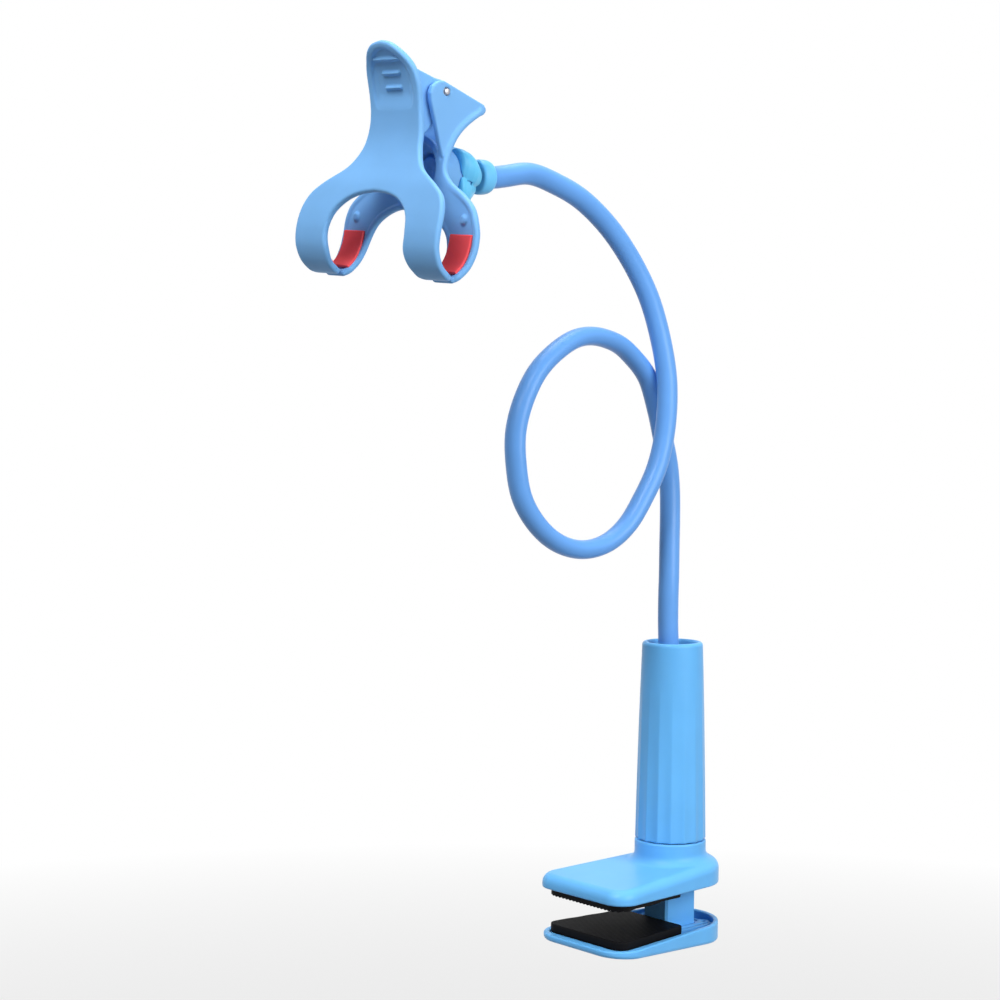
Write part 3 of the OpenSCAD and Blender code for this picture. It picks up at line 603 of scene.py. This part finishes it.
# Front arm: sheet with a thumb recess and three ribs, and two inner cheeks with a pin hole
g = Grid((-56, -52, -50), (-18, 52, 57), 0.55)
mid = middle(front_path, 1.5, 1.5)
dist, run, side, outline, seg, down = sheet_fields(g, mid, front_outer, front_inner, 5.0)
ay = np.abs(g.y)
plan = outline(ay, run)
tl = np.stack([thumb_line[:, 0], np.interp(-thumb_line[:, 1], down, seg)], 1)
tl = np.concatenate([tl, tl[::-1] * [-1, 1]])
ya, sa = np.meshgrid(np.arange(0, 30, 0.5), np.arange(-4, 50, 0.5), indexing="ij")
thumb = Flat(shape(tl, ya, sa), 0, -4, 0.5)(np.minimum(ay, 28), np.minimum(run, 44))
fade = smooth(np.interp(-24.6, down, seg), np.interp(-33, down, seg), run)
depth = 1.25 * smooth(0.4, -1.0, thumb) * fade
for zc, half in ((46.4, 9.4), (40.6, 5.4), (34.6, 5.0)):
    sc = np.interp(-zc, down, seg)
    rib = np.hypot(np.maximum(ay - half, 0), run - sc)
    depth = depth - 1.3 * smooth(1.0, 0.3, rib) * smooth(0.0, -1.2, thumb)
inset = 0.5 * smooth(-2.0, -3.4, plan) * smooth(70, 80, run)
off = dist * np.sign(side)
body = np.maximum(depth - off, inset + off) - 1.5
body = both(body, plan, 1.15)
cheek = both(g.flat([(-43.4, 43.4), (-30, 39.6), (-24, 38.8), (-21.4, 36.6), (-20.6, 33), (-22.5, 29.6),
                     (-29.5, 20.2), (-34.1, 15), (-39.4, 10), (-38.5, 15), (-38.3, 22), (-39.2, 29),
                     (-40.8, 36)], "xz"), np.abs(ay - 12.5) - 1.5, 0.5)
body = join(body, cheek, 1.2)
body = cut(body, g.rod_y(2.0, -30, 30, *PIN), 0.2)
moulded("arm_front", g, body, "front", CLIP, ("front_arm",), clip=True)

# Rear arm: sheet, outer cheeks, ball housing and round bosses above the pads
g = Grid((-42, -50, -51), (1, 50, 41), 0.55)
mid = middle(rear_path, -1.5, 1.5)
dist, run, side, outline, seg, down = sheet_fields(g, mid, rear_outer, rear_inner, 5.0)
ay = np.abs(g.y)
plan = outline(ay, run)
low = smooth(40, 52, run)
inset = 0.7 * smooth(-1.8, -3.2, plan) * low
for yc, zc in ((37.5, -20),):
    sc = np.interp(-zc, down, seg)
    inset = inset - 1.2 * smooth(2.6, 1.4, np.hypot(ay - yc, run - sc))
body = dist - 1.5 - 0.45 * smooth(3.4, 0.6, run) + np.where(side < 0, inset, 0)
body = both(body, plan, 1.15)
cheek = both(g.flat([(-4.2, 30.7), (-27.6, 38.6), (-30.6, 38), (-33.4, 35.8), (-34.4, 32.6), (-33.8, 29.1),
                     (-30.3, 19.7), (-25.9, 6.4), (-23.4, 8.6), (-21.2, 13.2), (-17.6, 18), (-13, 22.2),
                     (-8.4, 25.6), (-4.4, 28.4)], "xz"), np.abs(ay - 16) - 1.5, 0.6)
body = join(body, cheek, 0.5)
boss = both(np.hypot(g.y, g.z) - np.interp(g.x, [-25.6, -17.6], [16.6, 11]),
            np.maximum(-26 - g.x, g.x + 17.6))
body = join(body, boss, 1.2)
body = join(body, g.rod_x(11.6, -26, BALL_DX - 6.3, edge=0.7), 1.5)
body = join(body, g.rod_x(10.26, -26, BALL_DX + 1.2, edge=0.4))
body = cut(body, g.rod_y(1.77, -30, 30, *PIN))
ball = np.sqrt((g.x - BALL_DX) ** 2 + g.y ** 2 + g.z ** 2)
body = cut(body, ball - 8.26)
body = cut(body, g.rod_x(8.38, BALL_DX, 10))
mouth = both(np.hypot(g.y, g.z) - np.interp(g.x, [-28.8, -19.8], [15.6, 9.6]),
             np.maximum(-40 - g.x, g.x + 19.8))
body = cut(body, mouth, 0.4)
body = cut(body, g.rod_x(9, -40, -16.4), 0.4)
body = cut(body, g.rod_x(3.4, -40, -8))
moulded("arm_rear", g, body, "clip", CLIP, ("rear_arm",), clip=True)

# Lock nut: four lobes that swirl round the axis, with sharp valleys between them
g = Grid((-12, -16, -16), (7, 16, 16), 0.35)
r = np.hypot(g.y, g.z)
along = np.clip((g.x + 9.9) / 14.65, 0, 1)
a = np.arctan2(g.z, g.y) - np.radians(222 + 40 * along)
crest = 14.5 - np.interp(g.x, [-9.9, -9.5, -8.8, -7, -3.5, -1, 2, 4.75],
                         [2.2, 1.2, 0.4, 0, 0.4, 1.5, 4.0, 6.4])
body = (r - crest + 0.26 * crest * (1 - np.sqrt(np.cos(2 * a) ** 2 + 0.004))) * 0.85
body = both(body, np.maximum(-9.9 - g.x, g.x - 4.75), 0.5)
x = g.x - BALL_DX
body = cut(body, g.rod_x(10.56, -30, BALL_DX + 1.5), 0.3)
body = cut(body, np.sqrt(x ** 2 + r ** 2) - 8.26)
body = cut(body, r - np.interp(x, [4.6, 9.1], [6, 7]) + 0 * g.x)
moulded("nut_lobed", g, body, "nut", NUT, ("lock_nut",), clip=True)

# Socket cap with a dimple
prof = [(0.01, -18.0), (1.2, -18.16), (2.2, -18.56), (2.75, -18.88), (3.2, -19.0), (6.5, -19.0),
        (6.95, -18.9), (7.2, -18.55), (7.2, -16.5), (3.4, -16.45), (3.3, -16.3), (3.3, -12.4), (0.01, -12.36)]
lathe("cap_round", prof, "clip", CLIP, ("socket_cap",), axis="x", clip=True)


# Finger pads: a slab bent along the arm, between two offsets from its path
def finger_pad(name, path, off_a, off_b, s, z0, z1, y0, y1, body, node):
    c = curve(path, 8)
    t = np.gradient(c, axis=0)
    t /= np.linalg.norm(t, axis=1)[:, None]
    nrm = np.stack([-t[:, 1], t[:, 0]], 1)
    zf = -(c + off_b * nrm)[:, 1]
    at = np.arange(len(c))
    i0, i1 = np.interp([-z1, -z0], zf, at)
    m = 25
    ys = np.linspace(y0, y1, 15)
    grid_pts = []
    for off in (off_a, off_b):
        for k in np.linspace(i0, i1, m):
            cx, cz = (np.interp(k, at, c[:, j]) + off * np.interp(k, at, nrm[:, j]) for j in (0, 1))
            grid_pts += [(cx, s * y, cz) for y in ys]
    nb = len(ys)
    faces = []
    for a in range(m - 1):
        for b in range(nb - 1):
            q = (a * nb + b, a * nb + b + 1, (a + 1) * nb + b + 1, (a + 1) * nb + b)
            faces.append(q)
            faces.append(tuple(m * nb + i for i in reversed(q)))
    rim = [b for b in range(nb)] + [a * nb + nb - 1 for a in range(1, m)] \
        + [(m - 1) * nb + b for b in range(nb - 2, -1, -1)] + [a * nb for a in range(m - 2, 0, -1)]
    for i in range(len(rim)):
        j = (i + 1) % len(rim)
        faces.append((rim[j], rim[i], rim[i] + m * nb, rim[j] + m * nb))
    ob = add(name, grid_pts, faces, body, RED, (node,), clip=True)
    bv = ob.modifiers.new("edge", "BEVEL")
    bv.width = 0.0005
    bv.segments = 3
    bv.limit_method = "ANGLE"
    bv.angle_limit = math.radians(50)


for s, n in ((1, "left"), (-1, "right")):
    finger_pad("pad_rear_" + n, rear_path, -2.3, -3.9, s, -42, -26, 30.5, 44.5, "clip", "rear_pad_" + n)
    finger_pad("pad_front_" + n, front_path, 2.5, 3.9, s, -41, -26, 30.5, 44.5, "front", "front_pad_" + n)


# Hinge pin with domed heads that are smaller than its holes
prof = [(0.01, -18.1), (0.8, -18.05), (1.25, -17.85), (1.45, -17.5), (1.45, -17.1), (1.75, -16.9),
        (1.75, 16.9), (1.45, 17.1), (1.45, 17.5), (1.25, 17.85), (0.8, 18.05), (0.01, 18.1)]
lathe("pin_round", prof, "clip", STEEL, ("hinge_pin",), axis="y", at=(PIN[0], 0, PIN[1]), clip=True)

# Torsion spring round the pin, with one straight leg reaching toward each arm
coil_r, coil_w, turns = 3.3, 3.75, 5
legs = np.array([(-40.4, 41.6), (-13.6, 26.4)]) - PIN
reach = np.linalg.norm(legs, axis=1)
ang = np.arctan2(legs[:, 1], legs[:, 0]) + np.array([1, -1]) * np.arccos(coil_r / reach)
t = np.linspace(0, 1, 24 * turns + 1)
a = lerp(ang[0], ang[1] + 2 * np.pi * (turns + 1), t)
coil = np.stack([coil_r * np.cos(a), lerp(-coil_w, coil_w, t), coil_r * np.sin(a), 0 * a], 1)
ends = [np.array([x, y, z, 0.0]) for (x, z), y in zip(legs, (-coil_w, coil_w))]
wire = np.array([lerp(ends[0], coil[0], k / 6) for k in range(6)] + list(coil)
                + [lerp(coil[-1], ends[1], k / 6) for k in range(1, 7)])
wire[:, [0, 2]] += PIN
v, f = loft(tube(wire, 0.6, 12))
ob = add("spring_wire", v, f, None, STEEL, ("torsion_spring",), clip=True)
lead = legs[0] / reach[0]
line = np.array([(PIN[0] + k * lead[0], 0, PIN[1] + k * lead[1]) for k in (-2.5, 1.0)])
line = to_world(line, True) * MM
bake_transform(ob)


# Upper jaw
def jaw_plan(tip, hw, cr, rr, n=14):
    cx, cy = tip + cr, hw - cr
    dx, dy = POST_X - cx, -cy
    a = math.degrees(math.atan2(dy, dx)) + math.degrees(math.acos((cr - rr) / math.hypot(dx, dy)))
    p = [arc(cx, cy, cr, 180, a, n), arc(POST_X, 0, rr, a, -a, 5 * n), arc(cx, -cy, cr, -a, -180, n)]
    return np.concatenate(p)


def ribs(g, x0, x1, ys=(-20.5, -13.5, 13.5, 20.5), xs=(-15, -2, 11)):
    d = np.full((1, 1, 1), 1e3)
    for y in ys:
        d = np.minimum(d, np.abs(g.y - y) - 0.8)
    for x in xs:
        d = np.minimum(d, np.abs(g.x - x) - 0.8)
    for y in (-5, 5):
        d = np.minimum(d, np.maximum(np.abs(g.y - y) - 0.8, g.x - 22.2))
    return d


g = Grid((UP_TIP - 1, -31, 16), (REAR_X + 1, 31, COLLAR_Z + 1), 0.5)
plan = g.flat(jaw_plan(UP_TIP, HALF_W, 10, REAR_R), "xy")
top_z = lerp(TOP_TIP, TOP_REAR, (g.x - UP_TIP) / (REAR_X - UP_TIP))
low_z = lerp(SKIRT, SKIRT - 1.1, (g.x - UP_TIP) / 87)
body = both(plan, g.z - top_z, 4.6)
rp = np.hypot(g.x - POST_X, g.y)
body = join(body, both(rp - COLLAR_R, np.maximum(14 - g.z, g.z - COLLAR_Z), 0.7), 4.5)
body = both(body, low_z - g.z, 0.8)
inner = g.flat(jaw_plan(UP_TIP + 3.4, HALF_W - 3.4, 7, REAR_R - 3), "xy")
body = cut(body, both(inner, g.z - DECK, 0.3), 0.4)
pocket = both(g.flat(jaw_plan(UP_TIP + 4, HALF_W - 4, 6.4, REAR_R - 3.6), "xy"), g.z - top_z + 3.3, 0.8)
sq = np.maximum(np.abs(g.x - POST_X) - 13.25, np.abs(g.y) - 11)
pocket = cut(cut(cut(pocket, ribs(g, 0, 0), 0.3), sq, 0.3),
             np.maximum(rp - COLLAR_R - 1, JZ + 11.5 - g.z), 0.3)
body = cut(body, pocket, 0.3)
body = cut(body, np.maximum(np.abs(g.x - POST_X) - 10.55, np.abs(g.y) - 8.3), 0.3)
body = cut(body, g.rod_z(16.1, JZ + 14, JZ + 20.6, POST_X))
body = cut(body, g.rod_z(14.9, JZ + 15, 60, POST_X), 0.4)
moulded("jaw_top", g, body, "jaw", BLUE, ("upper_jaw",))

# Lower jaw
g = Grid((LOW_TIP - 1, -31, -14), (REAR_X + 1, 31, -1), 0.5)
plan = g.flat(jaw_plan(LOW_TIP, HALF_W, 14, REAR_R), "xy")
t = (g.x - LOW_TIP) / (REAR_X - LOW_TIP)
rim = lerp(RIM_TIP, RIM_REAR, t)
flo = lerp(FLOOR_TIP, FLOOR_REAR, t)
outer = both(both(plan, flo - g.z, 1.8), g.z - rim, 0.5)
hollow = both(g.flat(jaw_plan(PAD_TIP - 0.6, HALF_W - 3.6, 6.2, REAR_R - 2.4), "xy"), flo + 2.1 - g.z, 0.8)
body = cut(outer, hollow, 0.4)
seat = g.block((POST_X - 12.75, -10.5, -20), (POST_X + 12.75, 10.5, -4.6), 0.4)
web = both(ribs(g, 0, 0), g.z - np.where(g.x < PAD_REAR + 0.6, -LOW_PAD - 0.05, -4.6), 0.2)
web = join(web, seat, 0.5)
for y in (-8.5, 8.5):
    web = join(web, g.rod_z(3.2, -20, -4.6, POST_X + 15.5, y, 0.3), 0.6)
web = join(web, g.block((POST_X + 14.7, -40, -20), (POST_X + 16.3, 40, -4.6), 0.3), 0.5)
web = both(web, g.flat(jaw_plan(LOW_TIP + 1.2, HALF_W - 1.2, 12.8, REAR_R - 1.2), "xy"))
web = np.maximum(web, flo + 1 - g.z)
body = join(body, web, 0.6)
body = cut(body, g.block((POST_X - 10.3, -8.05, -9), (POST_X + 10.3, 8.05, 5)))
for y in (-8.5, 8.5):
    body = cut(body, g.rod_z(1.5, -9, 5, POST_X + 15.5, y), 0.2)
for x in (-5, 5):
    body = cut(body, g.rod_z(1.7, -20, -5, POST_X + x))
    body = cut(body, g.rod_z(3.2, -20, -10.6, POST_X + x), 0.2)
moulded("jaw_bottom", g, body, "base", BLUE, ("lower_jaw",))


# Pads of the jaws
def pad_plan(x0, x1, w0, w1, r, n=10):
    return np.concatenate([arc(x0 + r, w0 - r, r, 180, 95, n), arc(x1 - 3, w1 - 3, 3, 95, 0, n),
                           arc(x1 - 3, 3 - w1, 3, 0, -95, n), arc(x0 + r, r - w0, r, -95, -180, n)])


g = Grid((PAD_TIP - 1, -27, -5), (PAD_REAR + 1, 27, 1), 0.34)
rib = 0.22 * (1 - np.abs(np.sin(np.pi * g.y / 1.7)) ** 0.7)
body = both(g.flat(pad_plan(PAD_TIP, PAD_REAR, 25.8, 21.3, 6), "xy"),
            np.maximum(-LOW_PAD - g.z, g.z + rib), 0.5)
moulded("pad_bottom", g, body, "base", PAD, ("lower_pad",))
g = Grid((UP_TIP + 3, -27, GAP - 1), (PAD_REAR + 1, 27, DECK + 1), 0.34)
rib = 0.6 * smooth(0.2, 0.8, np.abs(((g.y / 2.4) % 1.0) * 2 - 1))
body = both(g.flat(pad_plan(UP_TIP + 3.6, PAD_REAR - 0.4, 25.4, 20.8, 7), "xy"),
            np.maximum(GAP - g.z + rib, g.z - DECK), 0.5)
moulded("pad_top", g, body, "jaw", PAD, ("upper_pad",))

# Turning grip: flutes with sharp crests that fade toward the top
NF = 16
seg_n = NF * 12


def flute(z):
    return 0.8 * min(1, max(0, 1 - (z - GRIP_Z) / (0.8 * GRIP_LEN))) ** 0.8


def grip_ring(z, r):
    a = 2 * np.pi * np.arange(seg_n) / seg_n
    q = r - flute(z) * np.abs(np.sin(8 * a))
    return [(POST_X + qq * math.cos(aa), qq * math.sin(aa), z) for qq, aa in zip(q, a)]


def plain_ring(z, r):
    return [(POST_X + r * math.cos(2 * math.pi * i / seg_n), r * math.sin(2 * math.pi * i / seg_n), z)
            for i in range(seg_n)]


side_pts = [(GRIP_Z + 0.6, 17.3), (GRIP_Z + 0.25 * GRIP_LEN, lerp(17.3, 14.9, 0.25) + 0.15),
            (GRIP_Z + 0.55 * GRIP_LEN, lerp(17.3, 14.9, 0.55) + 0.2),
            (GRIP_Z + 0.8 * GRIP_LEN, lerp(17.3, 14.9, 0.8) + 0.1), (GRIP_TOP - 1.8, 14.9)]
rings = [grip_ring(GRIP_Z, 16.9), grip_ring(GRIP_Z + 0.2, 17.2)]
rings += [grip_ring(z, r) for z, r in curve(side_pts, 10)]
for k in range(1, 9):
    a = math.pi / 2 * k / 8
    rings.append(plain_ring(GRIP_TOP - 1.8 + 1.8 * math.sin(a), 14.9 - 1.5 * (1 - math.cos(a))))
rings += [plain_ring(GRIP_TOP, 13.0), plain_ring(GRIP_TOP - 0.3, 12.5), plain_ring(GRIP_TOP - 1.2, 11.9),
          plain_ring(GRIP_TOP - 15, 11.9), plain_ring(GRIP_TOP - 17, BORE_R),
          plain_ring(GRIP_Z + 14, BORE_R), plain_ring(GRIP_Z + 14, 15.3), plain_ring(GRIP_Z, 15.3)]
v, f = loft(rings, True)
ob = add("grip_fluted", v, f, "grip", BLUE, ("grip_sleeve",))
auto_edges(ob, 50)

# Floor, light and camera
FWD = Vector((0.6561, 0.7547, 0))
RIGHT = Vector((0.7547, -0.6561, 0))
UP = Vector((0, 0, 1))
CENTRE = Vector((-0.03, 0.0, 0.2))

me = bpy.data.meshes.new("floor")
me.from_pydata([(-6, -6, -0.3), (6, -6, -0.3), (6, 6, -0.3), (-6, 6, -0.3)], [], [(0, 1, 2, 3)])
floor = bpy.data.objects.new("floor", me)
bpy.context.scene.collection.objects.link(floor)
fm = bpy.data.materials.new("floor_white")
fm.use_nodes = True
bs = fm.node_tree.nodes["Principled BSDF"]
ray = fm.node_tree.nodes.new("ShaderNodeLightPath")
tone = fm.node_tree.nodes.new("ShaderNodeMix")
tone.data_type = "RGBA"
tone.inputs["A"].default_value = (0.85, 0.85, 0.85, 1)
tone.inputs["B"].default_value = (0.3, 0.3, 0.3, 1)
fm.node_tree.links.new(ray.outputs["Is Diffuse Ray"], tone.inputs["Factor"])
fm.node_tree.links.new(tone.outputs["Result"], bs.inputs["Base Color"])
bs.inputs["Roughness"].default_value = 0.9
me.materials.append(fm)


def pale_seen(nt, kind, shader, target, part=None):
    """White where it is seen, mirrored or looked through; otherwise the shader lights the object."""
    white = nt.nodes.new(kind)
    white.inputs["Color"].default_value = (1, 1, 1, 1)
    white.inputs["Strength"].default_value = 1.0
    path = nt.nodes.new("ShaderNodeLightPath")
    total = path.outputs["Is Camera Ray"]
    for name in ("Is Glossy Ray", "Is Transmission Ray"):
        mx = nt.nodes.new("ShaderNodeMath")
        mx.operation = "MAXIMUM"
        nt.links.new(total, mx.inputs[0])
        nt.links.new(path.outputs[name], mx.inputs[1])
        total = mx.outputs[0]
    if part:
        mx = nt.nodes.new("ShaderNodeMath")
        mx.operation = "MULTIPLY"
        nt.links.new(total, mx.inputs[0])
        nt.links.new(part, mx.inputs[1])
        total = mx.outputs[0]
    mix = nt.nodes.new("ShaderNodeMixShader")
    nt.links.new(total, mix.inputs["Fac"])
    nt.links.new(shader, mix.inputs[1])
    nt.links.new(white.outputs[0], mix.inputs[2])
    nt.links.new(mix.outputs[0], target)


# The pale floor round the object keeps its shadow; farther off it fades into the white backdrop
nt = fm.node_tree
place = nt.nodes.new("ShaderNodeTexCoord")
far = nt.nodes.new("ShaderNodeVectorMath")
far.operation = "LENGTH"
nt.links.new(place.outputs["Object"], far.inputs[0])
fade = nt.nodes.new("ShaderNodeMapRange")
fade.inputs["From Min"].default_value = 0.8
fade.inputs["From Max"].default_value = 1.6
fade.inputs["To Min"].default_value = 0.5
nt.links.new(far.outputs["Value"], fade.inputs["Value"])
pale_seen(nt, "ShaderNodeEmission", bs.outputs["BSDF"], nt.nodes["Material Output"].inputs["Surface"],
          fade.outputs["Result"])

world = bpy.data.worlds.new("studio")
bpy.context.scene.world = world
world.use_nodes = True
nt = world.node_tree
bg = nt.nodes["Background"]
# Ambient light that is stronger from above than from below
sky = nt.nodes.new("ShaderNodeTexCoord")
split = nt.nodes.new("ShaderNodeSeparateXYZ")
nt.links.new(sky.outputs["Generated"], split.inputs[0])
level = nt.nodes.new("ShaderNodeMapRange")
level.inputs["From Min"].default_value = -1.0
level.inputs["From Max"].default_value = 1.0
level.inputs["To Min"].default_value = 0.0
level.inputs["To Max"].default_value = 0.2
nt.links.new(split.outputs["Z"], level.inputs["Value"])
bg.inputs["Color"].default_value = (1, 1, 1, 1)
nt.links.new(level.outputs["Result"], bg.inputs["Strength"])
pale_seen(nt, "ShaderNodeBackground", bg.outputs[0], nt.nodes["World Output"].inputs["Surface"])


def lamp(name, where, size, watts):
    data = bpy.data.lights.new(name, "AREA")
    data.shape = "SQUARE"
    data.size = size
    data.energy = watts
    ob = bpy.data.objects.new(name, data)
    bpy.context.scene.collection.objects.link(ob)
    ob.location = CENTRE + where
    ob.rotation_euler = (-where).to_track_quat("-Z", "Y").to_euler()


lamp("key", Vector((-1.0, -0.25, 1.2)), 0.8, 20.5)
lamp("side", Vector((0.15, -1.2, 0.4)), 0.8, 13.5)
lamp("top", FWD * 0.3 + UP * 1.4, 0.8, 10)

cam_data = bpy.data.cameras.new("camera")
cam_data.sensor_width = 36
cam_data.sensor_fit = "HORIZONTAL"
cam_data.lens = 72
cam = bpy.data.objects.new("camera", cam_data)
bpy.context.scene.collection.objects.link(cam)
pitch = math.radians(2.448)
roll = math.radians(0.5)
look = FWD.normalized() * math.cos(pitch) - UP * math.sin(pitch)
right = RIGHT.normalized()
up = right.cross(look).normalized()
right2 = right * math.cos(roll) + up * math.sin(roll)
up2 = -right * math.sin(roll) + up * math.cos(roll)
rot = Matrix((right2, up2, -look)).transposed()
cam.matrix_world = Matrix.Translation(Vector((-671.8, -682.8, 245.5)) * MM) @ rot.to_4x4()
cam_data.clip_start = 0.01
cam_data.clip_end = 50
bpy.context.scene.camera = cam
bpy.context.scene.view_settings.view_transform = "Standard"
